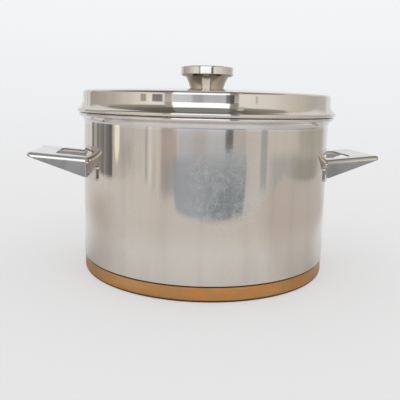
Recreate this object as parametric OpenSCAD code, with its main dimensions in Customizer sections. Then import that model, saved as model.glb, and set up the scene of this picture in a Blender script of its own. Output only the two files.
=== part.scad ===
// Lidded stockpot: a drawn steel body on a copper-clad base, two pressed loop
// handles spot-welded to the wall, and a domed lid with a hollow knob held by one screw.
// Origin: centre of the resting face. +Z up, +X from handle to handle.

/* [Body] */
// Outer diameter of the body wall
body_d = 239; // [200:1:300]
// Height of the rim's top above the resting face
body_h = 150.3; // [125:0.1:220]
// Thickness of the body sheet
body_t = 1; // [0.8:0.1:1.4]
// Radius of the outward flare under the rim, on its outer face
flare_r = 6.2; // [5:0.1:8]
// Angle through which the wall flares
flare_turn = 70; // [56:1:76]
// Radius of the rolled bead at the rim
rim_bead_r = 1.6; // [1.4:0.05:2]

/* [Base] */
// Height of the seam between the steel wall and the copper
seam_z = 13.7; // [11.8:0.1:16]
// Width of the fine groove left at the seam
seam_groove = 0.4; // [0.2:0.05:0.8]
// How far the copper stands inside the steel wall
copper_inset = 0.8; // [0.4:0.05:1.2]
// Thickness of the copper cup
copper_t = 1.2; // [0.8:0.1:1.8]
// Outer corner radius at the foot of the copper cup
copper_corner_r = 2.4; // [1.8:0.1:4]
// Thickness of the aluminium heat-spreading core
core_h = 6.4; // [4:0.1:7]
// Outer corner radius of the steel bottom, inside the copper cup
bottom_corner_r = 3; // [2:0.1:3.4]

/* [Handles] */
// Distance from the pot's axis to the outer edge of a handle
handle_reach = 168; // [158:0.2:185]
// Width of a handle, over both legs
handle_w = 74.5; // [64:0.5:90]
// Height of the grip's top face at the outer edge
handle_tip_z = 113.9; // [108:0.1:118]
// Height of the legs' top face at the wall
handle_root_z = 109; // [104:0.1:112]
// Height of the lower edge of the welding tabs
tab_z = 91; // [86:0.1:94]
// Depth of the turned-down lip at the outer edge
handle_lip = 3.9; // [3.5:0.1:6]
// Thickness of the handle sheet
handle_t = 1.5; // [1.2:0.1:2]
// Bend radius along the handle's edges, on the outer face
handle_bend_r = 4.5; // [3.4:0.1:5.2]
// Depth of the grip, from the outer edge to the finger opening
grip_depth = 23.6; // [18:0.2:26]
// Width of each leg's top face beside the finger opening
leg_w = 11; // [9:0.5:14]
// Corner radius of the finger opening
finger_corner_r = 6; // [4:0.5:9]
// Height of a welding tab
tab_h = 13.2; // [11:0.1:15]
// Length of a welding tab along the wall, measured from the leg
tab_l = 26; // [22:0.5:32]
// Corner radius of a welding tab
tab_corner_r = 2.5; // [1:0.1:4]
// Radius of the bend between a leg and its tab, on the outer face
tab_bend_r = 1.6; // [1.3:0.1:3]
// Diameter of a spot-weld mark
weld_d = 4; // [3:0.1:5]
// Depth of a spot-weld mark
weld_mark = 0.25; // [0.1:0.05:0.5]
// Clearance of the handles from the wall
handle_fit = 0.05; // [0.02:0.01:0.15]

/* [Lid] */
// How far the lid's side wall stands outside the body wall
lid_over = 1.4; // [0.8:0.1:2]
// Thickness of the lid sheet
lid_t = 0.9; // [0.7:0.05:1.2]
// Height of the lid's shoulder above the rim
lid_h = 20.6; // [18:0.1:30]
// Rise of the dome from the shoulder to the centre
dome_rise = 4.3; // [2:0.1:12]
// Outer radius of the lid's shoulder
shoulder_r = 2.8; // [2:0.1:5]
// Radius of the lid's outward flare, on its outer face
lid_flare_r = 9; // [7.5:0.1:10.5]
// Angle through which the lid's wall flares
lid_flare_turn = 59; // [50:1:66]
// Radius of the rolled bead at the lid's edge
lid_bead_r = 1.9; // [1.6:0.05:2.2]
// Gap between the two rolled beads
rim_gap = 0.3; // [0.2:0.05:0.5]
// Clearance between the lid's seating band and the body's flare
seat_fit = 0.6; // [0.4:0.05:1]

/* [Knob] */
// Diameter of the knob's cap
cap_d = 52; // [46:0.2:60]
// Height of the knob's cap
cap_h = 9.5; // [7:0.1:14]
// Width of the bevel round the cap's top
cap_bevel = 0.7; // [0.5:0.1:1.5]
// Width of the bevel round the cap's underside
cap_foot_bevel = 2.6; // [1:0.1:2.8]
// Height of the bevel round the cap's underside
cap_foot_rise = 1.8; // [0.8:0.1:2.2]
// Height of the knob's stem
stem_h = 11.6; // [9:0.1:20]
// Radius of the stem at the lid
stem_foot_r = 16.8; // [14:0.1:18]
// Radius of the stem under the cap
stem_top_r = 21.4; // [19:0.1:21.9]
// Radius of the stem's hollow curve
stem_curve_r = 34; // [24:0.5:60]
// Thickness of the knob's sheet
knob_t = 1.2; // [0.8:0.1:1.4]
// Radius of the threaded boss inside the knob
boss_r = 6.5; // [5:0.1:8]

/* [Screw] */
// Diameter of the knob screw
screw_d = 5; // [4:0.5:6]
// Clearance of the screw in the boss
screw_fit = 0.1; // [0.05:0.01:0.2]
// Clearance of the screw in the lid and in the washers
hole_fit = 0.3; // [0.2:0.05:0.5]
// Length of the screw inside the boss
screw_grip = 10; // [7:0.5:14]
// Diameter of the screw's head
head_d = 9.5; // [8.6:0.1:12]
// Height of the screw's head
head_h = 3.2; // [2.6:0.1:4]
// Diameter of the flat washer
washer_d = 15; // [12.5:0.5:20]
// Thickness of the flat washer
washer_t = 1.2; // [1:0.1:2]
// Diameter of the spring washer
spring_washer_d = 9; // [8.4:0.1:12]
// Thickness of the spring washer
spring_washer_t = 1.3; // [1:0.1:2]

/* [Hidden] */
$fn = 144;

steel = "#bdb6ae";
copper = "#b8763f";
aluminium = "#c9ccd0";

body_r = body_d / 2;
copper_r = body_r - copper_inset;
cup_fit = 0.15;
core_top = copper_t + core_h;
step_r = copper_r - copper_t - cup_fit;
rim_bead_x = body_r + flare_r - (flare_r + rim_bead_r) * cos(flare_turn);
rim_bead_z = body_h - rim_bead_r;
flare_start = rim_bead_z - (flare_r + rim_bead_r) * sin(flare_turn);

lid_r = body_r + lid_over;
lid_bead_z = body_h + rim_gap + lid_bead_r;
lid_flare_z = lid_bead_z + (lid_flare_r + lid_bead_r) * sin(lid_flare_turn);
lid_bead_x = lid_r + lid_flare_r - (lid_flare_r + lid_bead_r) * cos(lid_flare_turn);
shoulder_x = lid_r - shoulder_r;
crown_z = body_h + lid_h + dome_rise;
dome_r = (shoulder_x * shoulder_x + dome_rise * dome_rise) / (2 * dome_rise);
dome_z = crown_z - dome_r;
shoulder_z = dome_z + sqrt(pow(dome_r - shoulder_r, 2) - shoulder_x * shoulder_x);
dome_turn = asin(shoulder_x / (dome_r - shoulder_r));
// The flat washer meets the dome's underside at its own edge
washer_top = dome_z + sqrt(pow(dome_r - lid_t, 2) - washer_d * washer_d / 4) - 0.02;
washer_foot = washer_top - washer_t;
head_top = washer_foot - spring_washer_t;

cap_z = crown_z + stem_h;
cap_top = cap_z + cap_h;

leg_y = handle_w / 2;
leg_turn = asin(leg_y / body_r);
leg_x = body_r * cos(leg_turn);
handle_l = norm([handle_reach - leg_x, handle_tip_z - handle_root_z]);
handle_tilt = asin((handle_tip_z - handle_root_z) / handle_l);
tab_face_r = body_r + handle_fit + handle_t;
tab_bend_y = leg_y + tab_bend_r;
tab_bend_x = sqrt(pow(tab_face_r + tab_bend_r, 2) - tab_bend_y * tab_bend_y);
tab_turn = tab_l / body_r * 180 / PI;
far = 400;
// The lid's dome runs this far into its side wall
lap = 0.02;
// The handle's sheet runs this far into its tabs' bends
sheet_lap = 0.6;
// The sheet is this much thinner on each face round its tightest bends
bend_thinning = 0.05;

// A bent stretch of sheet in profile: an arc with its outer face or inner face at
// radius r, t thick towards the centre, from angle a to angle b
module bend(centre, r, t, a, b) {
    steps = 6;
    translate(centre) intersection() {
        difference() {
            circle(r);
            circle(r - t);
        }
        polygon(concat([[0, 0]], [for (i = [0 : steps])
            2 * r * [cos(a + (b - a) * i / steps), sin(a + (b - a) * i / steps)]]));
    }
}

// A straight stretch of sheet in profile, between two corners
module flat(from, to) {
    translate([min(from.x, to.x), min(from.y, to.y)])
        square([abs(to.x - from.x), abs(to.y - from.y)]);
}

// ---- base ----

module copper_base() {
    color(copper) rotate_extrude() difference() {
        union() {
            flat([0, 0], [copper_r - copper_corner_r, seam_z - seam_groove]);
            flat([0, copper_corner_r], [copper_r, seam_z - seam_groove]);
            translate([copper_r - copper_corner_r, copper_corner_r]) circle(copper_corner_r);
        }
        flat([-1, copper_t], [copper_r - copper_t, seam_z]);
        flat([-copper_r, -1], [0, seam_z]);
    }
}

module heat_core() {
    color(aluminium) translate([0, 0, copper_t])
        cylinder(r = step_r, h = core_h);
}

// ---- body ----

module pot_shell() {
    corner_z = core_top + bottom_corner_r;
    corner_x = step_r - bottom_corner_r;
    ledge_r = 1;
    color(steel) rotate_extrude() {
        flat([0, core_top], [corner_x, core_top + body_t]);
        bend([corner_x, corner_z], bottom_corner_r, body_t, -90, 0);
        flat([step_r - body_t, corner_z], [step_r, seam_z + body_t]);
        flat([step_r - body_t, seam_z], [body_r - ledge_r, seam_z + body_t]);
        bend([body_r - ledge_r, seam_z + ledge_r], ledge_r, ledge_r, -90, 0);
        flat([body_r - body_t, seam_z + ledge_r], [body_r, flare_start]);
        bend([body_r + flare_r, flare_start], flare_r + body_t, body_t, 180, 180 - flare_turn);
        translate([rim_bead_x, rim_bead_z]) circle(rim_bead_r);
    }
}

// ---- handles ----

// A strip with two rounded corners at its far end
module tongue(start, end, half_w, r) {
    flat([start, -half_w], [end - r, half_w]);
    flat([start, r - half_w], [end, half_w - r]);
    for (side = [-1, 1]) translate([end - r, side * (half_w - r)]) circle(r);
}

// The block whose top, sides and outer edge are the handle's faces, t inside the
// outer faces. Its frame starts at the wall, on the legs' top face.
module handle_block(t) {
    r = handle_bend_r - t;
    depth = 50;
    translate([leg_x, 0, handle_root_z]) rotate([0, -handle_tilt, 0]) intersection() {
        translate([0, 0, -depth]) linear_extrude(depth + 5)
            tongue(-15, handle_l - t, leg_y - t, r);
        translate([0, far / 2, -t - depth / 2]) rotate([90, 0, 0]) linear_extrude(far)
            tongue(-15, handle_l - t, depth / 2, r);
        translate([-15, 0, 0]) rotate([0, 90, 0]) rotate([0, 0, 180]) linear_extrude(far)
            tongue(-depth, -t, leg_y - t, r);
    }
}

// Everything above the lower edge, which runs level from the tabs past their bend and
// then slopes up to the lip
module above_lower_edge() {
    foot = [tab_bend_x + sheet_lap, tab_z];
    run = [handle_reach, handle_tip_z - handle_lip] - foot;
    translate([0, far / 2, 0]) rotate([90, 0, 0]) linear_extrude(far)
        polygon([[0, tab_z], foot, foot + 2 * run, foot + 2 * run + [0, far], [0, far]]);
}

// The sheet round the finger opening, cut off where the legs turn into their tabs
module grip_and_legs() {
    opening_w = handle_w - 2 * leg_w;
    difference() {
        intersection() {
            handle_block(0);
            above_lower_edge();
        }
        handle_block(handle_t);
        linear_extrude(far)
            tongue(leg_x - 30, handle_reach - grip_depth, opening_w / 2, finger_corner_r);
        for (side = [-1, 1])
            translate([0, side * leg_y - handle_t, 0])
                cube([tab_bend_x - sheet_lap, 2 * handle_t, far]);
        cylinder(r = body_r + handle_fit, h = far);
    }
}

// A tab and its bend in plan. The bend joins the leg at right angles to the handle's
// axis and the tab along the wall.
module tab_plan() {
    bend_turn = atan2(tab_bend_y, tab_bend_x);
    overlap = sheet_lap / body_r * 180 / PI;
    bend([tab_bend_x, tab_bend_y], tab_bend_r + handle_t - bend_thinning, handle_t - 2 * bend_thinning,
         180 + bend_turn, 270);
    bend([0, 0], tab_face_r, handle_t, bend_turn - overlap, leg_turn + tab_turn);
}

// A tab seen from outside the pot, rounded at its free end
module tab_outline() {
    rotate([0, 0, leg_turn + tab_turn]) rotate([90, 0, 90]) linear_extrude(far)
        translate([0, tab_z + tab_h / 2]) tongue(-2 * tab_l, 0, tab_h / 2, tab_corner_r);
}

module weld_marks() {
    for (along = [0.42, 0.78])
        rotate([0, 0, leg_turn + along * tab_turn])
            translate([tab_face_r - weld_mark, 0, tab_z + tab_h / 2])
                rotate([0, 90, 0]) cylinder(d = weld_d, h = 10);
}

module handle() {
    grip_and_legs();
    for (side = [0, 1]) mirror([0, side, 0]) difference() {
        intersection() {
            translate([0, 0, tab_z - 1]) linear_extrude(tab_h + 2) tab_plan();
            tab_outline();
        }
        weld_marks();
    }
}

module handle_left() {
    color(steel) mirror([1, 0, 0]) handle();
}

module handle_right() {
    color(steel) handle();
}

// ---- lid ----

// The sheet is folded back under its bead: it hooks round the inside of the body's
// bead and runs down along the body's flare.
module lid_shell() {
    hook_r = rim_bead_r + rim_gap + lid_t;
    seat_r = flare_r + body_t + seat_fit + lid_t;
    hook_mid = hook_r - lid_t / 2;
    seat_mid = seat_r - lid_t / 2;
    apart = flare_r + rim_bead_r;
    seat_end = acos((seat_mid * seat_mid + apart * apart - hook_mid * hook_mid) / (2 * seat_mid * apart));
    hook_end = acos((hook_mid * hook_mid + apart * apart - seat_mid * seat_mid) / (2 * hook_mid * apart));
    color(steel) rotate_extrude() difference() {
        union() {
            translate([0, dome_z]) intersection() {
                difference() {
                    circle(dome_r, $fn = 1440);
                    circle(dome_r - lid_t, $fn = 1440);
                }
                polygon([[0, 0], 2 * dome_r * [0, 1],
                         2 * dome_r * [sin(dome_turn), cos(dome_turn)] + [lap, 0]]);
            }
            bend([shoulder_x, shoulder_z], shoulder_r, lid_t, 0, 90 - dome_turn);
            flat([lid_r - lid_t, lid_flare_z], [lid_r, shoulder_z + lap]);
            bend([lid_r + lid_flare_r, lid_flare_z], lid_flare_r + lid_t, lid_t, 180, 180 + lid_flare_turn);
            translate([lid_bead_x, lid_bead_z]) circle(lid_bead_r);
            bend([rim_bead_x, rim_bead_z], hook_r, lid_t, 75, 360 - flare_turn - hook_end);
            bend([body_r + flare_r, flare_start], seat_r, lid_t, 176, 180 - flare_turn + seat_end);
        }
        flat([0, 0], [screw_d / 2 + hole_fit, far]);
    }
}

// ---- knob ----

// The stem's hollow curve passes through its foot and its top
function curve_centre(a, b, r) =
    let (mid = (a + b) / 2, d = b - a, l = norm(d))
    mid + sqrt(r * r - l * l / 4) * [d.y, -d.x] / l;

module knob_stem() {
    foot = [stem_foot_r, crown_z];
    top = [stem_top_r, cap_z];
    centre = curve_centre(foot, top, stem_curve_r);
    color(steel) rotate_extrude() intersection() {
        translate(centre) difference() {
            circle(stem_curve_r + knob_t, $fn = 288);
            circle(stem_curve_r, $fn = 288);
        }
        flat([0, crown_z + 0.02], [centre.x - 1, cap_z]);
    }
}

module knob_cap() {
    cap_r = cap_d / 2;
    lip_r = stem_top_r - knob_t - 2;
    color(steel) rotate_extrude() difference() {
        polygon([[0, cap_z], [cap_r - cap_foot_bevel, cap_z], [cap_r, cap_z + cap_foot_rise],
                 [cap_r, cap_top - cap_bevel], [cap_r - cap_bevel, cap_top], [0, cap_top]]);
        polygon([[0, cap_z + knob_t], [cap_r - cap_foot_bevel - knob_t / 2, cap_z + knob_t],
                 [cap_r - knob_t, cap_z + cap_foot_rise + knob_t / 2],
                 [cap_r - knob_t, cap_top - cap_bevel - knob_t / 2],
                 [cap_r - cap_bevel - knob_t / 2, cap_top - knob_t], [0, cap_top - knob_t]]);
        flat([0, cap_z - 1], [lip_r, cap_top - knob_t]);
    }
}

module knob_boss() {
    bore_r = screw_d / 2 + screw_fit;
    boss_z = crown_z + 1;
    color(steel) difference() {
        translate([0, 0, boss_z]) cylinder(r = boss_r, h = cap_top - knob_t - boss_z);
        translate([0, 0, boss_z - 1]) cylinder(r = bore_r, h = screw_grip + 2);
    }
}

module flat_washer() {
    color(steel) difference() {
        translate([0, 0, washer_foot]) cylinder(d = washer_d, h = washer_t);
        translate([0, 0, washer_foot - 1]) cylinder(d = screw_d + 2 * hole_fit, h = washer_t + 2);
    }
}

// A split ring, its ends cut at a slant
module spring_washer() {
    color(steel) difference() {
        translate([0, 0, head_top]) cylinder(d = spring_washer_d, h = spring_washer_t);
        translate([0, 0, head_top - 1])
            cylinder(d = screw_d + 2 * hole_fit, h = spring_washer_t + 2);
        translate([0, 0, head_top + spring_washer_t / 2]) rotate([30, 0, 0])
            translate([0, -0.4, -5]) cube([spring_washer_d, 0.8, 10]);
    }
}

module knob_screw() {
    color(steel) difference() {
        union() {
            translate([0, 0, head_top]) cylinder(d = screw_d, h = crown_z + 1 + screw_grip - head_top);
            intersection() {
                translate([0, 0, head_top - head_h]) cylinder(d = head_d, h = head_h);
                translate([0, 0, head_top - head_h + head_d * 0.8]) sphere(head_d * 0.8);
            }
        }
        for (turn = [0, 90])
            translate([0, 0, head_top - head_h]) rotate([0, 0, turn]) cube([5, 1, 3], center = true);
    }
}

pot_shell();
heat_core();
copper_base();
handle_left();
handle_right();
lid_shell();
knob_cap();
knob_stem();
knob_boss();
knob_screw();
flat_washer();
spring_washer();
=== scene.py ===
import math

import bpy
from mathutils import Matrix, Vector


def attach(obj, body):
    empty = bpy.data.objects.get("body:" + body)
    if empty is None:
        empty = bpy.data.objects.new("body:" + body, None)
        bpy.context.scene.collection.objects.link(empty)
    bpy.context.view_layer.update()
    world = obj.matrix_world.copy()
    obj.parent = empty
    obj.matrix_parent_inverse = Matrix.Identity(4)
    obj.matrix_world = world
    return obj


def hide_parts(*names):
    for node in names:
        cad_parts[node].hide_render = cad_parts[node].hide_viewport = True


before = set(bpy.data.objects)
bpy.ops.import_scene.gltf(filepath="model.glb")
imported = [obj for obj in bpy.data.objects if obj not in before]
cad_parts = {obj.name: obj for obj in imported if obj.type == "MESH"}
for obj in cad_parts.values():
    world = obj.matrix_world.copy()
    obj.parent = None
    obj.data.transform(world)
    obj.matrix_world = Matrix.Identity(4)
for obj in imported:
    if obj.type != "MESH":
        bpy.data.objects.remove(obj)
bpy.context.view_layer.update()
bpy.context.scene.view_settings.view_transform = "Standard"
degrees = 180 / math.pi    # in one radian


# A number that varies over a surface. Arithmetic on it adds Math nodes.
class Value:
    def __init__(self, shade, socket):
        self.shade = shade
        self.socket = socket

    def math(self, operation, *others):
        sockets = {place: other for place, other in enumerate((self,) + others)}
        return self.shade.value("Math", {"operation": operation}, sockets)

    def __add__(self, other):
        return self.math("ADD", other)

    def __radd__(self, other):
        return self.math("ADD", other)

    def __sub__(self, other):
        return self.math("SUBTRACT", other)

    def __rsub__(self, other):
        return self.shade.value("Math", {"operation": "SUBTRACT"}, {0: other, 1: self})

    def __mul__(self, other):
        return self.math("MULTIPLY", other)

    def __rmul__(self, other):
        return self.math("MULTIPLY", other)

    def __truediv__(self, other):
        return self.math("DIVIDE", other)

    def __pow__(self, other):
        return self.math("POWER", other)

    def __neg__(self):
        return self.math("MULTIPLY", -1)

    def absolute(self):
        return self.math("ABSOLUTE")

    def atMost(self, other):
        return self.math("MINIMUM", other)

    def atLeast(self, other):
        return self.math("MAXIMUM", other)

    # 0 below low and 1 above high, with a soft change between
    def rise(self, low, high):
        return self.shade.value("MapRange", {"interpolation_type": "SMOOTHSTEP"},
                                {"Value": self, "From Min": low, "From Max": high})

    # 1 between low and high, falling to 0 over soft on each side
    def band(self, low, high, soft):
        return self.rise(low - soft, low + soft) * (1 - self.rise(high - soft, high + soft))


# A node tree being built
class Shade:
    def __init__(self, tree):
        self.tree = tree
        tree.nodes.clear()

    def node(self, kind, settings=None, sockets=None):
        made = self.tree.nodes.new("ShaderNode" + kind)
        for name, setting in (settings or {}).items():
            if name == "stops":
                self.fillRamp(made.color_ramp, setting)
            else:
                setattr(made, name, setting)
        for name, value in (sockets or {}).items():
            self.feed(made.inputs[name], value)
        return made

    def feed(self, socket, value):
        if isinstance(value, Value):
            value = value.socket
        if isinstance(value, bpy.types.NodeSocket):
            self.tree.links.new(value, socket)
        elif socket.type == "RGBA" and len(value) == 3:
            socket.default_value = (*value, 1)
        else:
            socket.default_value = value

    def fillRamp(self, ramp, stops):
        while len(ramp.elements) < len(stops):
            ramp.elements.new(1)
        for element, (place, color) in zip(ramp.elements, stops):
            element.position = place
            element.color = (*color, 1)

    def value(self, kind, settings=None, sockets=None, output=0):
        return Value(self, self.node(kind, settings, sockets).outputs[output])

    def mixColor(self, amount, first, second, blend="MIX"):
        made = self.node("Mix", {"data_type": "RGBA", "blend_type": blend},
                         {0: amount, 6: first, 7: second})
        return made.outputs[2]

    # With three sizes, the pattern is stretched along the axes
    def noise(self, vector, size, detail=2, rough=0.5, distort=0):
        if isinstance(size, tuple):
            vector = self.stretch(vector, size)
            size = 1
        return self.value("TexNoise", None, {"Vector": vector, "Scale": size, "Detail": detail,
                                             "Roughness": rough, "Distortion": distort})

    def dot(self, vector, other):
        return self.value("VectorMath", {"operation": "DOT_PRODUCT"}, {0: vector, 1: other}, 1)

    def scaled(self, vector, factor):
        made = self.node("VectorMath", {"operation": "SCALE"}, {0: vector, "Scale": factor})
        return made.outputs[0]

    def stretch(self, vector, factors):
        made = self.node("VectorMath", {"operation": "MULTIPLY"}, {0: vector, 1: factors})
        return made.outputs[0]

    # The three numbers that a place or a direction is made of
    def split(self, vector):
        made = self.node("SeparateXYZ", None, {0: vector})
        return [Value(self, socket) for socket in made.outputs]


def newMaterial(name):
    material = bpy.data.materials.new(name)
    material.use_nodes = True
    return material, Shade(material.node_tree)


# Metres and degrees, with the lens and its sensor in millimetres
shot = {
    "distance": 0.51683,
    "height": 0.16385,
    "turn": 7.5,        # round the pot from its front, to the left
    "down": 7.37,
    "aside": -0.55,
    "roll": 1.34,
    "lens": 46.04,
    "sensor": 36,
    "shiftY": -0.0845,
    "nearest": 0.01,
}


def placeCamera():
    down = math.radians(shot["down"])
    aside = math.radians(shot["aside"])
    level = Vector((math.sin(aside), math.cos(aside), 0))
    forward = level * math.cos(down) - Vector((0, 0, math.sin(down)))
    right = Vector((math.cos(aside), -math.sin(aside), 0))
    roll = Matrix.Rotation(math.radians(-shot["roll"]), 3, forward)
    right = roll @ right
    up = right.cross(forward)
    turn = Matrix.Rotation(math.radians(-shot["turn"]), 3, "Z")
    camera = bpy.data.objects.new("camera", bpy.data.cameras.new("camera"))
    axes = Matrix((turn @ right, turn @ up, turn @ -forward)).transposed()
    place = turn @ Vector((0, -shot["distance"], shot["height"]))
    camera.matrix_world = Matrix.Translation(place) @ axes.to_4x4()
    camera.data.lens = shot["lens"]
    camera.data.sensor_width = shot["sensor"]
    camera.data.shift_y = shot["shiftY"]
    camera.data.clip_start = shot["nearest"]
    bpy.context.scene.collection.objects.link(camera)
    bpy.context.scene.camera = camera


placeCamera()
print("camera placed")


# Heights and turns are in degrees, above the level and round the pot from its front.
# A pair is where something starts to change and where it has changed.
room = {
    "light": 0.95,
    "low": (0.79, 0.785, 0.79),           # the backdrop as the camera sees it
    "horizon": (0.855, 0.87, 0.885),
    "high": (0.905, 0.92, 0.935),
    "toHorizon": (-14, 2),
    "toHigh": (0, 13),
    "backdrop": (0.86, 0.865, 0.88),      # and as metal that faces away shows it
    "backdropFrom": (0.35, 0.55),
    "backdropHeight": (14, 30),
    "wallsMeet": (-2.1, -1.0),
    "ceiling": (0.16, 0.15, 0.14),
    "ceilingNear": (0.36, 0.345, 0.305),
    "ceilingFade": (12, 44),
    "ceilingFrom": 21,                    # height where it starts, ahead
    "ceilingEdge": 13,
    "ceilingRight": 15,                   # how much higher it starts on the right
    "ceilingRightTurn": (5, 35),
    "ceilingSides": 26,                   # and far round on both sides
    "ceilingRightSide": (60, 95),
    "ceilingLeftSide": (98, 125),
    "cloudSize": 7,
    "cloudy": 0.16,
}

# The room's walls in the metal, by turn (right is positive): below and above the
# level of the pot's rim
wallsLow = [
    (-180, (0.84, 0.84, 0.86)),
    (-137, (0.84, 0.84, 0.86)),
    (-133, (0.60, 0.585, 0.575)),
    (-99, (0.63, 0.61, 0.595)),
    (-75, (0.72, 0.72, 0.73)),
    (-45, (0.78, 0.77, 0.76)),
    (28, (0.71, 0.72, 0.74)),
    (49, (0.74, 0.73, 0.71)),
    (100, (0.68, 0.67, 0.66)),
    (126, (0.62, 0.61, 0.60)),
    (136, (0.84, 0.84, 0.86)),
    (180, (0.84, 0.84, 0.86)),
]
wallsHigh = [
    (-180, (0.84, 0.84, 0.86)),
    (-138, (0.84, 0.84, 0.86)),
    (-133, (0.45, 0.43, 0.40)),
    (-96, (0.60, 0.57, 0.56)),
    (-72, (0.88, 0.84, 0.77)),
    (-56, (1.04, 1.03, 0.98)),
    (-44, (1.00, 0.98, 0.90)),
    (22, (0.97, 0.96, 0.90)),
    (48, (0.90, 0.86, 0.81)),
    (64, (0.79, 0.74, 0.70)),
    (82, (0.68, 0.64, 0.59)),
    (100, (0.60, 0.58, 0.56)),
    (124, (0.60, 0.58, 0.56)),
    (132, (0.80, 0.80, 0.81)),
    (180, (0.84, 0.84, 0.86)),
]

# What stands in front of the walls: turn from and to, height from and to, softness
# of the sides and of the ends, colour
surroundings = [
    (-134.5, -130, -9, -1.6, 0.5, 0.4, (0.26, 0.26, 0.25)),    # dark curtain on the left
    (-130, -124, -9, -1.6, 0.5, 0.4, (0.50, 0.50, 0.50)),
    (-124, -115, -9.2, -1.6, 0.5, 0.3, (0.26, 0.26, 0.265)),
    (-119.5, -117.8, -9.2, -1.6, 0.3, 0.3, (0.40, 0.40, 0.40)),
    (-115, -99, -9.4, -1.6, 0.6, 0.3, (0.235, 0.24, 0.255)),
    (-111, -108.5, -9.4, -1.6, 0.4, 0.3, (0.37, 0.37, 0.375)),
    (-104, -99.3, -9.6, -1.6, 0.5, 0.3, (0.165, 0.17, 0.19)),
    (-96, -90, -5.9, -2.0, 0.6, 0.5, (1.16, 1.15, 1.02)),      # slit of light beside it
    (-94.8, -91.2, -6.8, -5.4, 0.6, 0.5, (1.16, 1.15, 1.02)),
    (-89, -76, -7.4, -4.8, 2.5, 0.9, (0.58, 0.58, 0.60)),
    (-61.5, -59, -10.6, -2.0, 0.6, 0.8, (0.55, 0.57, 0.60)),   # posts and a cupboard
    (-57.5, -55.5, -9.6, -2.0, 0.7, 0.8, (0.90, 0.90, 0.88)),
    (-53.5, -51.5, -10.2, -6.2, 0.7, 1.0, (0.64, 0.64, 0.65)),
    (-47, -32, -10.5, -2.2, 1.8, 0.5, (0.60, 0.56, 0.555)),
    (-45, -31, -10.5, -6.6, 1.8, 1.4, (0.49, 0.50, 0.535)),
    (-47, -32, -3.4, -2.0, 2.0, 0.5, (0.50, 0.47, 0.45)),
    (-31, 27, -20, -1.4, 1.5, 0.4, (0.61, 0.67, 0.77)),        # under the window
    (-18, -7, -8.0, -1.4, 3.0, 1.4, (0.58, 0.59, 0.63)),
    (10, 16.5, -5.7, -1.4, 0.8, 0.6, (0.20, 0.21, 0.235)),
    (17, 28, -6.4, -1.4, 1.4, 1.2, (0.60, 0.60, 0.60)),
    (42, 48.5, -9.8, -1.8, 1.2, 0.8, (0.47, 0.52, 0.58)),      # post on the right
    (84, 128, -5.6, -1.4, 6.0, 1.2, (0.535, 0.53, 0.51)),      # low things on the right
    (52, 84, -20, -5.9, 6.0, 0.7, (0.52, 0.54, 0.56)),
    (78, 116, -20, -5.9, 7.0, 0.8, (0.42, 0.42, 0.40)),
    (-153, -150, -20, 20, 0.8, 1.0, (0.66, 0.66, 0.68)),       # folds of the backdrop
    (-144.5, -142, -20, 20, 0.8, 1.0, (0.62, 0.62, 0.64)),
    (-66, -60.5, -0.9, 1.6, 0.8, 0.3, (0.46, 0.44, 0.42)),     # pictures on the wall
    (-54.7, -45.3, -0.9, 1.6, 0.6, 0.3, (0.27, 0.26, 0.31)),
    (-43.5, -37, -0.9, 44, 0.9, 3.0, (0.47, 0.45, 0.44)),
    (35, 37, -0.9, 1.6, 0.5, 0.4, (0.62, 0.62, 0.60)),
    (12, 20, -0.9, 44, 0.8, 3.0, (0.36, 0.34, 0.32)),
    (20, 25.5, 31, 68, 1.6, 5.0, (0.62, 0.61, 0.53)),
    (-36.5, 12.5, -0.9, 50, 0.6, 4.0, (1.50, 1.56, 1.66)),     # the window
    (-36.5, 13.5, -0.9, 2.2, 0.6, 0.5, (0.76, 0.82, 0.92)),    # its sill and what stands on it
    (-20, 9, -0.9, 2.2, 3.0, 0.5, (0.60, 0.62, 0.70)),
    (-19, -10, -0.9, 2.2, 1.6, 0.4, (0.49, 0.51, 0.57)),
    (9, 16, -0.9, 5.0, 0.9, 0.5, (0.22, 0.22, 0.25)),
    (12.5, 16, -0.9, 5.0, 0.5, 0.5, (0.115, 0.11, 0.115)),
    (-37, 14, 53, 91, 0.8, 2.0, (0.29, 0.31, 0.33)),           # ceiling above it
]

# A soft grey patch in front, from the rim's level down, with a rounded foot
softPatch = {
    "middle": -3,
    "half": 32,
    "from": -6.4,
    "foot": -13.6,
    "soft": 1.0,
    "sides": 8,          # powers: the higher, the squarer
    "ends": 3,
    "edge": (0.93, 1.06),
    "tint": (0.42, 0.49, 0.575),
    "tintRight": (0.265, 0.325, 0.395),
    "toRight": (-14, 6),
    "toLow": (-11, -6),
    "blend": 0.92,
}


def wallColor(shade, turn, stops):
    settings = {"stops": [((place + 180) / 360, color) for place, color in stops]}
    return shade.node("ValToRGB", settings, {0: (turn + 180) / 360}).outputs[0]


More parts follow.
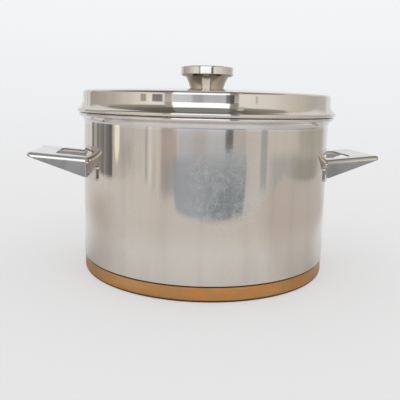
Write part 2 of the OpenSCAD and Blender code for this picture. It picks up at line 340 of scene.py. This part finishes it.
# A direction is split by how far it turns from the camera, so that upright things
# stay upright where the metal curves towards the top.
def surroundingColor(shade):
    sight = shade.node("TexCoord").outputs["Generated"]
    ahead = math.radians(shot["turn"])
    away = shade.dot(sight, (math.sin(ahead), math.cos(ahead), 0))
    aside = shade.dot(sight, (math.cos(ahead), -math.sin(ahead), 0))
    height = shade.split(sight)[2].math("ARCSINE") * degrees
    halfTurn = (aside / (1 - away).atLeast(0.001)).math("ARCTANGENT")    # never divided by 0
    turn = halfTurn * (2 * degrees) - shot["turn"]
    lower = wallColor(shade, turn, wallsLow)
    upper = wallColor(shade, turn, wallsHigh)
    color = shade.mixColor(height.rise(*room["wallsMeet"]), lower, upper)
    sides = turn.rise(*room["ceilingRightSide"]) + (-turn).rise(*room["ceilingLeftSide"])
    ceiling = height - room["ceilingFrom"] - sides * room["ceilingSides"]
    ceiling = ceiling - turn.rise(*room["ceilingRightTurn"]) * room["ceilingRight"]
    overhead = shade.mixColor(ceiling.rise(*room["ceilingFade"]), room["ceilingNear"], room["ceiling"])
    color = shade.mixColor(ceiling.rise(0, room["ceilingEdge"]), color, overhead)
    for left, right, low, high, softSide, softEnd, tint in surroundings:
        mask = turn.band(left, right, softSide) * height.band(low, high, softEnd)
        color = shade.mixColor(mask, color, tint)
    across = (turn - softPatch["middle"]).absolute() / softPatch["half"]
    down = (softPatch["from"] - height).atLeast(0) / (softPatch["from"] - softPatch["foot"])
    inside = 1 - (across ** softPatch["sides"] + down ** softPatch["ends"]).rise(*softPatch["edge"])
    below = 1 - height.rise(softPatch["from"] - softPatch["soft"], softPatch["from"] + softPatch["soft"])
    lowRight = turn.rise(*softPatch["toRight"]) * (1 - height.rise(*softPatch["toLow"]))
    tint = shade.mixColor(lowRight, softPatch["tint"], softPatch["tintRight"])
    color = shade.mixColor(inside * below * softPatch["blend"], color, tint)
    behind = away.rise(*room["backdropFrom"]) * height.rise(*room["backdropHeight"])
    color = shade.mixColor(behind, color, room["backdrop"])
    cloud = shade.noise(sight, room["cloudSize"], detail=3) * room["cloudy"] + (1 - room["cloudy"] / 2)
    return shade.scaled(color, cloud), height


def lightRoom():
    world = bpy.data.worlds.new("room")
    bpy.context.scene.world = world
    world.use_nodes = True
    shade = Shade(world.node_tree)
    color, height = surroundingColor(shade)
    seen = shade.mixColor(height.rise(*room["toHorizon"]), room["low"], room["horizon"])
    seen = shade.mixColor(height.rise(*room["toHigh"]), seen, room["high"])
    path = shade.node("LightPath")
    light = (room["light"],) * 3
    lit = shade.mixColor(path.outputs["Is Glossy Ray"], light, color)
    lit = shade.mixColor(path.outputs["Is Camera Ray"], lit, seen)
    glow = shade.node("Background", None, {"Color": lit})
    shade.node("OutputWorld", None, {"Surface": glow.outputs[0]})


# Pale paper. Lengths are in metres, from the pot's axis. Towards its ends the backdrop
# shows through it, and the metal stops seeing it at its edges.
paper = {
    "size": 3.5,
    "color": (0.89, 0.885, 0.885),
    "near": (0.90, 0.935, 0.985),         # as the metal shows it: painted light, paler and bluer close to the pot
    "far": (0.81, 0.80, 0.81),
    "toFar": (0.22, 0.36),
    "clear": 0.57,                        # close to the pot
    "toClear": (0.3, 1.7),
    "frontEdge": (0.39, 0.42),
    "leftEdge": (0.68, 0.74),
    "rightEdge": (0.68, 0.76),
    "sideShade": (0.80, 0.765, 0.74),      # painted shade: times the above, on both sides of the pot
    "slide": 24,                          # degrees that the painted shade turns, close to the pot
    "slideEnds": (0.12, 0.4),
    "left": (-119, -88, 13),              # turn from and to, softness
    "leftEnds": (0.36, 0.62),
    "leftDepth": 0.95,
    "rightFrom": (26, 50),
    "rightTo": (110, 134),
    "rightSlide": 2,                      # how many times as far it turns, behind
    "rightEnds": (0.72, 1.05),
    "rightDepth": 0.8,
}


def layFloor():
    mesh = bpy.data.meshes.new("floor")
    size = paper["size"]
    corners = [(-size, -size, 0), (size, -size, 0), (size, size, 0), (-size, size, 0)]
    mesh.from_pydata(corners, [], [(0, 1, 2, 3)])
    floor = bpy.data.objects.new("floor", mesh)
    bpy.context.scene.collection.objects.link(floor)
    material, shade = newMaterial("paper")
    mesh.materials.append(material)
    across, away, _ = shade.split(shade.node("NewGeometry").outputs["Position"])
    reach = (across * across + away * away) ** 0.5
    path = shade.node("LightPath")
    camera = Value(shade, path.outputs["Is Camera Ray"])
    glossy = Value(shade, path.outputs["Is Glossy Ray"])
    clear = camera * (paper["clear"] + reach.rise(*paper["toClear"]) * (1 - paper["clear"]))
    beyond = (-away).rise(*paper["frontEdge"])
    beyond = beyond.atLeast((-across).rise(*paper["leftEdge"]))
    beyond = beyond.atLeast(across.rise(*paper["rightEdge"]))
    clear = (clear + glossy * beyond).atMost(1)
    around = across.math("ARCTAN2", -away) * degrees
    slide = (1 - reach.rise(*paper["slideEnds"])) * paper["slide"]
    left = (around - slide).band(*paper["left"]) * (1 - reach.rise(*paper["leftEnds"]))
    rightEnd = (around + slide * paper["rightSlide"]).rise(*paper["rightTo"])
    right = around.rise(*paper["rightFrom"]) * (1 - rightEnd)
    right = right * (1 - reach.rise(*paper["rightEnds"]))
    sides = left * paper["leftDepth"] + right * paper["rightDepth"]
    # As the metal sees it, the paper carries painted light and shade: paler and bluer near the pot,
    # greyer far off, darker beside it
    shown = shade.mixColor(reach.rise(*paper["toFar"]), paper["near"], paper["far"])
    shown = shade.mixColor(sides, shown, paper["sideShade"], "MULTIPLY")
    paint = shade.mixColor(glossy, paper["color"], shown)
    sheet = shade.node("BsdfDiffuse", None, {"Color": paint})
    nothing = shade.node("BsdfTransparent")
    mixed = shade.node("MixShader", None, {0: clear, 1: sheet.outputs[0], 2: nothing.outputs[0]})
    shade.node("OutputMaterial", None, {"Surface": mixed.outputs[0]})


lightRoom()
layFloor()
print("room made")


# What all the steel has in common: wear that changes its colour and its gloss. Sizes
# are how many times a pattern repeats in a metre, along each axis where there are three.
wear = {
    "smudgeSize": 26,
    "smudge": (0.4, 0.75),
    "smudgeDark": 0.86,
    "smudgeDepth": 0.3,
    "smudgeBlur": 0.6,    # times the finish's own roughness
    "fineSize": 900,
    "fineBlur": 0.3,
    "cloudSize": (11, 11, 16),
    "cloud": (0.3, 0.7),
    "cloudTint": (1.02, 0.985, 0.95),
    "cloudDepth": 0.7,
    "hairlines": (30, 30, 1800),
    "hairlineDark": 0.985,
    "hairlineDepth": 0.05,
    "hairlineBump": 0.03,
    "hairlineHeight": 0.0002,
    "waveSize": (34, 34, 15),
    "waveHeight": 0.0004,
    # A dark band of painted shade along the seam, where the steel meets the copper
    "seamShade": (0.05, 0.035, 0.028),
    "paintedShadeDepth": 0.9,
    "seamShadeEdge": 0.0001,
    "paintedShadeBlur": 0.3,
}

# Dried water marks, most of them together on the front of the wall
splash = {
    "across": 0.001,
    "height": 0.096,
    "reach": 0.043,
    "edge": (1.05, 1.4),
    "unevenSize": 38,
    "uneven": 0.9,
    "front": (-0.05, -0.03),
    "elsewhereSize": 21,
    "elsewhere": (0.52, 0.7),
    "elsewhereDepth": 0.22,
    "ringSize": 115,
    "ringWidth": 0.035,
    "ringDepth": 0.7,
    "filmSize": 85,
    "film": (0.4, 0.72),
    "filmDepth": 0.75,
    "color": (0.56, 0.555, 0.55),
    "depth": 0.6,
    "blur": 0.05,
    "dullness": 0.45,
    "streakSize": (75, 75, 5),
    "streak": (0.42, 0.75),
    "streakDark": 0.09,
    "streakLight": 1.03,
}

# How faces that look in different directions take painted shade and light, and how soft the edge of the
# rim's painted highlight is
faces = {
    "mottleSize": 85,
    "mottleDark": 0.66,
    "mottle": 0.7,
    "end": (0.6, 0.85),
    "level": (0.1, 0.25),
    "top": (0.86, 0.97),
    "under": (0.1, 0.5),
    "rimHighlightEdge": 0.001,
}


# The dried water marks on a surface, from 0 to 1
def waterMarks(shade, place, across, away, height):
    right = (across - splash["across"]) / splash["reach"]
    above = (height - splash["height"]) / splash["reach"]
    uneven = shade.noise(place, splash["unevenSize"], detail=3, rough=0.6) * splash["uneven"]
    spread = (right * right + above * above) ** 0.5 + uneven
    patch = (1 - spread.rise(*splash["edge"])) * (1 - away.rise(*splash["front"]))
    elsewhere = shade.noise(place, splash["elsewhereSize"], distort=0.4)
    elsewhere = elsewhere.rise(*splash["elsewhere"]) * splash["elsewhereDepth"]
    patch = patch.atLeast(elsewhere)
    drops = shade.noise(place, splash["ringSize"], detail=3, rough=0.6, distort=1.8)
    rings = 1 - ((drops - 0.5).absolute() / splash["ringWidth"]).atMost(1)
    film = shade.noise(place, splash["filmSize"], detail=4, rough=0.65, distort=0.8)
    film = film.rise(*splash["film"])
    return (rings * splash["ringDepth"] + film * splash["filmDepth"]) * patch


# Polished sheet: soft smudges, hairlines from wiping, dried water marks and, with
# wavy, the faint unevenness of pressed metal. Faces can be given painted shade and
# light by the way they look: upright ones (side, or end on the handles' ends), level
# ones (top) and ones that look down. The rim is a brighter band of painted highlight,
# and the seam a dark band of painted shade.
def metal(name, color, rough, marks=0, wavy=0, side=None, end=None, top=None, under=None,
          rimHighlight=None, seam=None):
    material, shade = newMaterial(name)
    place = shade.node("TexCoord").outputs["Object"]
    across, away, height = shade.split(place)
    facing = shade.split(shade.node("NewGeometry").outputs["Normal"])
    # Painted shade on upright faces, with a random mottle, and painted light on faces that look up
    if side:
        mottle = shade.noise(place, faces["mottleSize"], detail=4, rough=0.65, distort=0.8)
        side = shade.mixColor(facing[1].absolute().rise(*faces["end"]), end, side)
        side = shade.scaled(side, faces["mottleDark"] + mottle * faces["mottle"])
        color = shade.mixColor(facing[2].absolute().rise(*faces["level"]), side, color)
        color = shade.mixColor(facing[2].rise(*faces["top"]), color, top)
    # Painted shade on faces that look down
    if under:
        color = shade.mixColor((-facing[2]).rise(*faces["under"]), color, under)
    # Painted highlight: a brighter band from the given height up
    if rimHighlight:
        above = height.rise(rimHighlight["from"] - faces["rimHighlightEdge"], rimHighlight["from"])
        color = shade.mixColor(above, color, rimHighlight["color"])
    smudge = shade.noise(place, wear["smudgeSize"], detail=4, rough=0.55).rise(*wear["smudge"])
    fine = shade.noise(place, wear["fineSize"])
    hairlines = shade.noise(place, wear["hairlines"])
    cloud = shade.noise(place, wear["cloudSize"], detail=3).rise(*wear["cloud"])
    worn = shade.mixColor(smudge * wear["smudgeDepth"], color, shade.scaled(color, wear["smudgeDark"]))
    worn = shade.mixColor(cloud * wear["cloudDepth"], worn, wear["cloudTint"], "MULTIPLY")
    worn = shade.scaled(worn, wear["hairlineDark"] + hairlines * wear["hairlineDepth"])
    blur = rough + smudge * (rough * wear["smudgeBlur"]) + fine * (rough * wear["fineBlur"])
    metallic = 1
    if marks:
        dull = (waterMarks(shade, place, across, away, height) * marks).atMost(1)
        streaks = shade.noise(place, splash["streakSize"], detail=3, rough=0.6)
        streaks = streaks.rise(*splash["streak"])
        worn = shade.mixColor(dull * splash["depth"], worn, splash["color"])
        worn = shade.scaled(worn, splash["streakLight"] - streaks * (splash["streakDark"] * marks))
        blur = blur + dull * splash["blur"]
        metallic = 1 - dull * splash["dullness"]
    # Painted shade: a dark, rougher band along the seam
    if seam:
        seamShade = height.band(*seam, wear["seamShadeEdge"])
        worn = shade.mixColor(seamShade * wear["paintedShadeDepth"], worn, wear["seamShade"])
        blur = blur + seamShade * wear["paintedShadeBlur"]
    surface = shade.node("BsdfPrincipled", None, {"Base Color": worn, "Metallic": metallic,
                                                  "Roughness": blur})
    bump = shade.node("Bump", None, {"Strength": wear["hairlineBump"],
                                     "Distance": wear["hairlineHeight"], "Height": hairlines})
    if wavy:
        waves = shade.noise(place, wear["waveSize"])
        bump = shade.node("Bump", None, {"Strength": wavy, "Distance": wear["waveHeight"],
                                         "Height": waves, "Normal": bump.outputs[0]})
    shade.feed(surface.inputs["Normal"], bump.outputs[0])
    shade.node("OutputMaterial", None, {"Surface": surface.outputs[0]})
    return material


copper = {
    "bright": (0.64, 0.275, 0.085),
    "brown": (0.50, 0.28, 0.11),
    "pale": (0.60, 0.35, 0.165),
    # dark spots of tarnish, and painted shade at the edges
    "darkSpotsAndEdgeShade": (0.09, 0.05, 0.03),
    "rough": 0.27,
    "cloudSize": (34, 34, 90),
    "cloud": (0.36, 0.62),
    "heatSize": (17, 17, 120),
    "heat": (0.5, 0.75),
    "heatDepth": 0.8,
    "spotSize": 330,
    "spots": (0.6, 0.78),
    "spotDepth": 0.45,
    "scratches": (40, 40, 2600),
    "scratchDark": 0.93,
    "scratchDepth": 0.14,
    "scratchBump": 0.12,
    "scratchHeight": 0.0002,
    "top": (0.0127, 0.0131),       # painted shade in the joint above this height
    "bottom": (0.0017, 0.0027),    # and a painted contact shadow below this one
    "paintedShadeDepth": 0.92,
    "cloudBlur": 0.12,
    "spotBlur": 0.06,
    "paintedShadeBlur": 0.2,
}


# Copper that has been scrubbed and heated: bright and brown clouds, heat tint and fine
# scratches round it, and at each edge a dark line of painted shade: in the joint above,
# a contact shadow below
def tarnishedCopper():
    material, shade = newMaterial("baseCopper")
    place = shade.node("TexCoord").outputs["Object"]
    height = shade.split(place)[2]
    cloud = shade.noise(place, copper["cloudSize"], detail=4, rough=0.6, distort=0.5)
    heat = shade.noise(place, copper["heatSize"], detail=3, rough=0.6)
    spots = shade.noise(place, copper["spotSize"], detail=4, rough=0.7)
    scratches = shade.noise(place, copper["scratches"], detail=3, rough=0.6)
    color = shade.mixColor(cloud.rise(*copper["cloud"]), copper["brown"], copper["bright"])
    color = shade.mixColor(heat.rise(*copper["heat"]) * copper["heatDepth"], color, copper["pale"])
    color = shade.mixColor(spots.rise(*copper["spots"]) * copper["spotDepth"], color, copper["darkSpotsAndEdgeShade"])
    color = shade.scaled(color, copper["scratchDark"] + scratches * copper["scratchDepth"])
    # Painted shade: a dark line in the joint at the top and a painted contact shadow at the bottom
    edge = height.rise(*copper["top"]).atLeast(1 - height.rise(*copper["bottom"]))
    color = shade.mixColor(edge * copper["paintedShadeDepth"], color, copper["darkSpotsAndEdgeShade"])
    blur = copper["rough"] + cloud * copper["cloudBlur"] + spots * copper["spotBlur"]
    blur = blur + edge * copper["paintedShadeBlur"]
    surface = shade.node("BsdfPrincipled", None, {"Base Color": color, "Metallic": 1,
                                                  "Roughness": blur})
    bump = shade.node("Bump", None, {"Strength": copper["scratchBump"],
                                     "Distance": copper["scratchHeight"], "Height": scratches})
    shade.feed(surface.inputs["Normal"], bump.outputs[0])
    shade.node("OutputMaterial", None, {"Surface": surface.outputs[0]})
    return material


finishes = {
    # On the body, the brighter band on the rim is a painted highlight, and the dark band at the seam is
    # painted shade
    "body_steel": metal("bodySteel", (0.66, 0.60, 0.53), rough=0.045, marks=0.9, wavy=0.25,
                        rimHighlight={"from": 0.1405, "color": (0.70, 0.665, 0.63)}, seam=(0.0134, 0.0144)),
    "lid_steel": metal("lidSteel", (0.68, 0.64, 0.585), rough=0.04, marks=0.3, wavy=0.06),
    # The handles' upright faces are painted darker (painted shade) and faces that look up paler (painted
    # light)
    "handle_steel": metal("handleSteel", (0.70, 0.68, 0.65), rough=0.14, marks=0.4, wavy=0.3,
                          side=(0.47, 0.43, 0.39), end=(0.60, 0.56, 0.51), top=(0.74, 0.735, 0.75)),
    # The knob's faces that look down, under the cap, are painted darker: painted shade
    "knob_steel": metal("knobSteel", (0.68, 0.66, 0.605), rough=0.06, marks=0.2,
                        under=(0.34, 0.31, 0.26)),
    # The stem is the knob's steel painted darker and warmer: painted shade under the cap
    "stem": metal("stemSteelShaded", (0.62, 0.585, 0.515), rough=0.09, marks=0.3,
                  under=(0.50, 0.47, 0.405)),
    "screw_steel": metal("screwSteel", (0.70, 0.69, 0.67), rough=0.2),
    "base_copper": tarnishedCopper(),
    "core_aluminium": metal("coreAluminium", (0.78, 0.79, 0.80), rough=0.35),
}
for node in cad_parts.values():
    for slot in node.material_slots:
        slot.material = finishes[slot.material.name.split(".")[0]]
print("finishes made")


# A point on a profile is (distance from the axis, height). Angles are in degrees,
# from outwards (0) to up (90).
def arc(center, radius, start, end, steps=8):
    turns = [math.radians(start + (end - start) * i / steps) for i in range(steps + 1)]
    return [(center[0] + radius * math.cos(t), center[1] + radius * math.sin(t)) for t in turns]


# The angle between two of a triangle's sides, opposite the third
def cornerAngle(side, other, opposite):
    cosine = (side * side + other * other - opposite * opposite) / (2 * side * other)
    return math.degrees(math.acos(cosine))


# A run of corners, each one rounded off over a short stretch on both sides
def rounded(corners, before, after, size, steps=4):
    points = []
    places = [Vector(place) for place in [before] + corners + [after]]
    for last, corner, following in zip(places, places[1:], places[2:]):
        start = corner + (last - corner).normalized() * size
        end = corner + (following - corner).normalized() * size
        for i in range(steps + 1):
            part = i / steps
            point = start * (1 - part) ** 2 + corner * 2 * part * (1 - part) + end * part ** 2
            points.append((point.x, point.y))
    return points


# Extra points near the ends of long straight stretches, so that they shade flat
def held(profile, gap=0.0004):
    points = []
    for start, end in zip(profile, profile[1:] + profile[:1]):
        points.append(start)
        length = math.dist(start, end)
        if length > 4 * gap:
            step = gap / length
            for part in (step, 1 - step):
                reach = start[0] + (end[0] - start[0]) * part
                points.append((reach, start[1] + (end[1] - start[1]) * part))
    return points


turning = {
    "onAxis": 1e-6,    # nearer to the axis than this is one point
    "sharpFrom": 32,   # degrees between two faces
}


# One piece, made by turning its profile round the axis
def turned(name, profile, body, node, slot, around=288, finish=None):
    profile = held(profile)
    rings = []
    points = []
    for reach, height in profile:
        if reach < turning["onAxis"]:
            rings.append([len(points)] * around)
            points.append((0, 0, height))
            continue
        rings.append(range(len(points), len(points) + around))
        for i in range(around):
            turn = 2 * math.pi * i / around
            points.append((reach * math.cos(turn), reach * math.sin(turn), height))
    polygons = []
    for low, high in zip(rings, rings[1:] + rings[:1]):
        if low[0] == low[1] and high[0] == high[1]:
            continue
        for i in range(around):
            j = (i + 1) % around
            corners = [low[i], low[j], high[j], high[i]]
            polygons.append(tuple(dict.fromkeys(corners)))
    mesh = bpy.data.meshes.new(name)
    mesh.from_pydata(points, [], polygons)
    mesh.validate()
    mesh.shade_smooth()
    mesh.set_sharp_from_angle(angle=math.radians(turning["sharpFrom"]))
    piece = bpy.data.objects.new(name, mesh)
    bpy.context.scene.collection.objects.link(piece)
    mesh.materials.append(finishes[finish or slot])
    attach(piece, body)
    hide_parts(node)


pot = {
    "radius": 0.1195,
    "height": 0.1503,
    "sheet": 0.001,
    "flare": 0.0062,
    "flareTurn": 70,
    "bead": 0.0016,
    "seam": 0.0137,
    "ledge": 0.001,
    "foot": 0.11735,
    "footCorner": 0.003,
    "floor": 0.0076,
    "step": 0.002,       # inside, from the wide wall to the foot
}


# The centres of the pot's rolled bead and of its flare, and how far they are apart
def potRim():
    apart = pot["flare"] + pot["bead"]
    turn = math.radians(pot["flareTurn"])
    bead = (pot["radius"] + pot["flare"] - apart * math.cos(turn), pot["height"] - pot["bead"])
    flare = (pot["radius"] + pot["flare"], bead[1] - apart * math.sin(turn))
    return bead, flare, apart


def makePot():
    sheet = pot["sheet"]
    bead, flare, apart = potRim()
    inner = pot["flare"] + sheet
    flareMeets = 180 - pot["flareTurn"] + cornerAngle(inner, apart, pot["bead"])
    beadMeets = 360 - pot["flareTurn"] - cornerAngle(pot["bead"], apart, inner)
    ledge = (pot["radius"] - pot["ledge"], pot["seam"] + pot["ledge"])
    corner = (pot["foot"] - pot["footCorner"], pot["floor"] + pot["footCorner"])
    profile = [(0, pot["floor"])]
    profile += arc(corner, pot["footCorner"], -90, 0)
    profile += [(pot["foot"], pot["seam"])]
    profile += arc(ledge, pot["ledge"], -90, 0)
    profile += arc(flare, pot["flare"], 180, 180 - pot["flareTurn"], steps=16)
    profile += arc(bead, pot["bead"], -pot["flareTurn"], beadMeets, steps=24)[1:]
    profile += arc(flare, inner, flareMeets, 180, steps=16)[1:]
    profile += [(pot["radius"] - sheet, pot["seam"] + sheet + pot["step"])]
    profile += arc(corner, pot["footCorner"] - sheet, 0, -90)
    profile += [(0, pot["floor"] + sheet)]
    turned("potShell", profile, "pot", "pot_shell", "body_steel")


base = {
    "radius": 0.1187,
    "top": 0.0133,
    "sheet": 0.0012,
    "corner": 0.0024,
    "innerCorner": 0.0015,
    "lip": 0.0003,
}


def makeBase():
    radius = base["radius"]
    inner = radius - base["sheet"]
    fillet = base["innerCorner"]
    profile = [(0, 0)]
    profile += arc((radius - base["corner"], base["corner"]), base["corner"], -90, 0)
    profile += arc((radius - base["lip"], base["top"] - base["lip"]), base["lip"], 0, 90, steps=4)
    profile += [(inner, base["top"]), (inner, base["sheet"] + fillet)]
    profile += arc((inner - fillet, base["sheet"] + fillet), fillet, 0, -90, steps=6)[1:]
    profile += [(0, base["sheet"])]
    turned("copperBase", profile, "pot", "copper_base", "base_copper")


lid = {
    "radius": 0.1209,
    "sheet": 0.0009,
    "crown": 0.1752,
    "dome": 0.0043,      # rise from the shoulder to the centre
    "shoulder": 0.0028,
    "flare": 0.009,
    "flareTurn": 59,
    "bead": 0.0019,
    "gap": 0.0003,       # between the lid's bead and the pot's
    "seatGap": 0.0006,   # between the seat band and the pot's flare
    "hookFrom": 75,      # where the seat band starts round the pot's bead
    "seatTo": 176,       # and where it ends along the flare
    "hole": 0.0028,
}


def makeLid():
    sheet = lid["sheet"]
    shoulderReach = lid["radius"] - lid["shoulder"]
    domeRadius = (shoulderReach ** 2 + lid["dome"] ** 2) / (2 * lid["dome"])
    domeCenter = (0, lid["crown"] - domeRadius)
    inner = domeRadius - lid["shoulder"]
    shoulder = (shoulderReach, domeCenter[1] + math.sqrt(inner ** 2 - shoulderReach ** 2))
    domeTurn = math.degrees(math.asin(shoulderReach / inner))
    holeTurn = math.degrees(math.asin(lid["hole"] / domeRadius))
    apart = lid["flare"] + lid["bead"]
    turn = math.radians(lid["flareTurn"])
    flareReach = lid["radius"] + lid["flare"]
    beadHeight = pot["height"] + lid["gap"] + lid["bead"]
    bead = (flareReach - apart * math.cos(turn), beadHeight)
    flare = (flareReach, beadHeight + apart * math.sin(turn))
    innerFlare = lid["flare"] + sheet
    flareMeets = 180 + lid["flareTurn"] - cornerAngle(innerFlare, apart, lid["bead"])
    beadMeets = lid["flareTurn"] + cornerAngle(lid["bead"], apart, innerFlare)
    profile = arc(domeCenter, domeRadius - sheet, 90 - holeTurn, 90 - domeTurn, steps=24)
    profile += arc(shoulder, lid["shoulder"] - sheet, 90 - domeTurn, 0, steps=10)[1:]
    profile += arc(flare, innerFlare, 180, flareMeets, steps=12)
    profile += arc(bead, lid["bead"], beadMeets, 360 + lid["flareTurn"], steps=24)[1:]
    profile += arc(flare, lid["flare"], 180 + lid["flareTurn"], 180, steps=12)[1:]
    profile += arc(shoulder, lid["shoulder"], 0, 90 - domeTurn, steps=12)
    profile += arc(domeCenter, domeRadius, 90 - domeTurn, 90 - holeTurn, steps=24)[1:]
    turned("lidShell", profile, "lid", "lid_shell", "lid_steel")


# The lid's folded edge: round the inside of the pot's bead, then down along its flare
def makeSeat():
    sheet = lid["sheet"]
    bead, flare, apart = potRim()
    hook = pot["bead"] + lid["gap"] + sheet
    seat = pot["flare"] + pot["sheet"] + lid["seatGap"] + sheet
    hookMid = hook - sheet / 2
    seatMid = seat - sheet / 2
    seatEnd = 180 - pot["flareTurn"] + cornerAngle(seatMid, apart, hookMid)
    hookEnd = 360 - pot["flareTurn"] - cornerAngle(hookMid, apart, seatMid)
    band = arc(bead, hook, lid["hookFrom"], hookEnd, steps=20)
    band += arc(flare, seat, seatEnd, lid["seatTo"], steps=8)[1:]
    band += arc(flare, seat - sheet, lid["seatTo"], seatEnd, steps=8)
    band += arc(bead, hook - sheet, hookEnd, lid["hookFrom"], steps=20)[1:]
    turned("lidSeat", band, "lid", "lid_shell", "lid_steel")


knob = {
    "cap": 0.026,
    "capFoot": 0.1868,
    "capTop": 0.1963,
    "bevel": 0.0007,
    "footBevel": 0.0026,
    "footRise": 0.0018,
    "sheet": 0.0012,
    "softness": 0.0003,   # of the cap's edges
    "lip": 0.002,         # how far the cap's floor reaches in past the stem
    "stemFoot": 0.0168,
    "stemTop": 0.0214,
    "stemLift": 0.00002,  # clear of the lid's dome
    "curve": 0.034,
    "around": 192,
}


def makeKnob():
    sheet = knob["sheet"]
    reach = knob["cap"]
    top = knob["capTop"]
    foot = knob["capFoot"]
    bevel = knob["bevel"]
    footReach = reach - knob["footBevel"]
    footRise = foot + knob["footRise"]
    lip = knob["stemTop"] - sheet - knob["lip"]
    profile = [(lip, foot + sheet), (lip, foot)]
    edges = [(footReach, foot), (reach, footRise), (reach, top - bevel), (reach - bevel, top)]
    profile += rounded(edges, (0, foot), (0, top), knob["softness"])
    profile += [(0, top), (0, top - sheet)]
    profile += [(reach - bevel - sheet / 2, top - sheet), (reach - sheet, top - bevel - sheet / 2)]
    profile += [(reach - sheet, footRise + sheet / 2), (footReach - sheet / 2, foot + sheet)]
    turned("knobCap", profile, "lid", "knob_cap", "knob_steel", knob["around"])


# Between two arcs, from the stem's foot to the cap
def makeStem():
    low = Vector((knob["stemFoot"], lid["crown"] + knob["stemLift"]))
    high = Vector((knob["stemTop"], knob["capFoot"]))
    chord = high - low
    sag = math.sqrt(knob["curve"] ** 2 - chord.length_squared / 4)
    center = (low + high) / 2 + sag * Vector((chord.y, -chord.x)).normalized()
    start = math.degrees(math.atan2(low.y - center.y, low.x - center.x)) % 360
    end = math.degrees(math.atan2(high.y - center.y, high.x - center.x)) % 360
    stem = arc(center, knob["curve"], start, end, steps=20)
    stem += arc(center, knob["curve"] + knob["sheet"], end, start, steps=20)
    turned("knobStem", stem, "lid", "knob_stem", "knob_steel", knob["around"], finish="stem")


makePot()
makeBase()
print("pot made")
makeLid()
makeSeat()
makeKnob()
makeStem()
print("lid made")
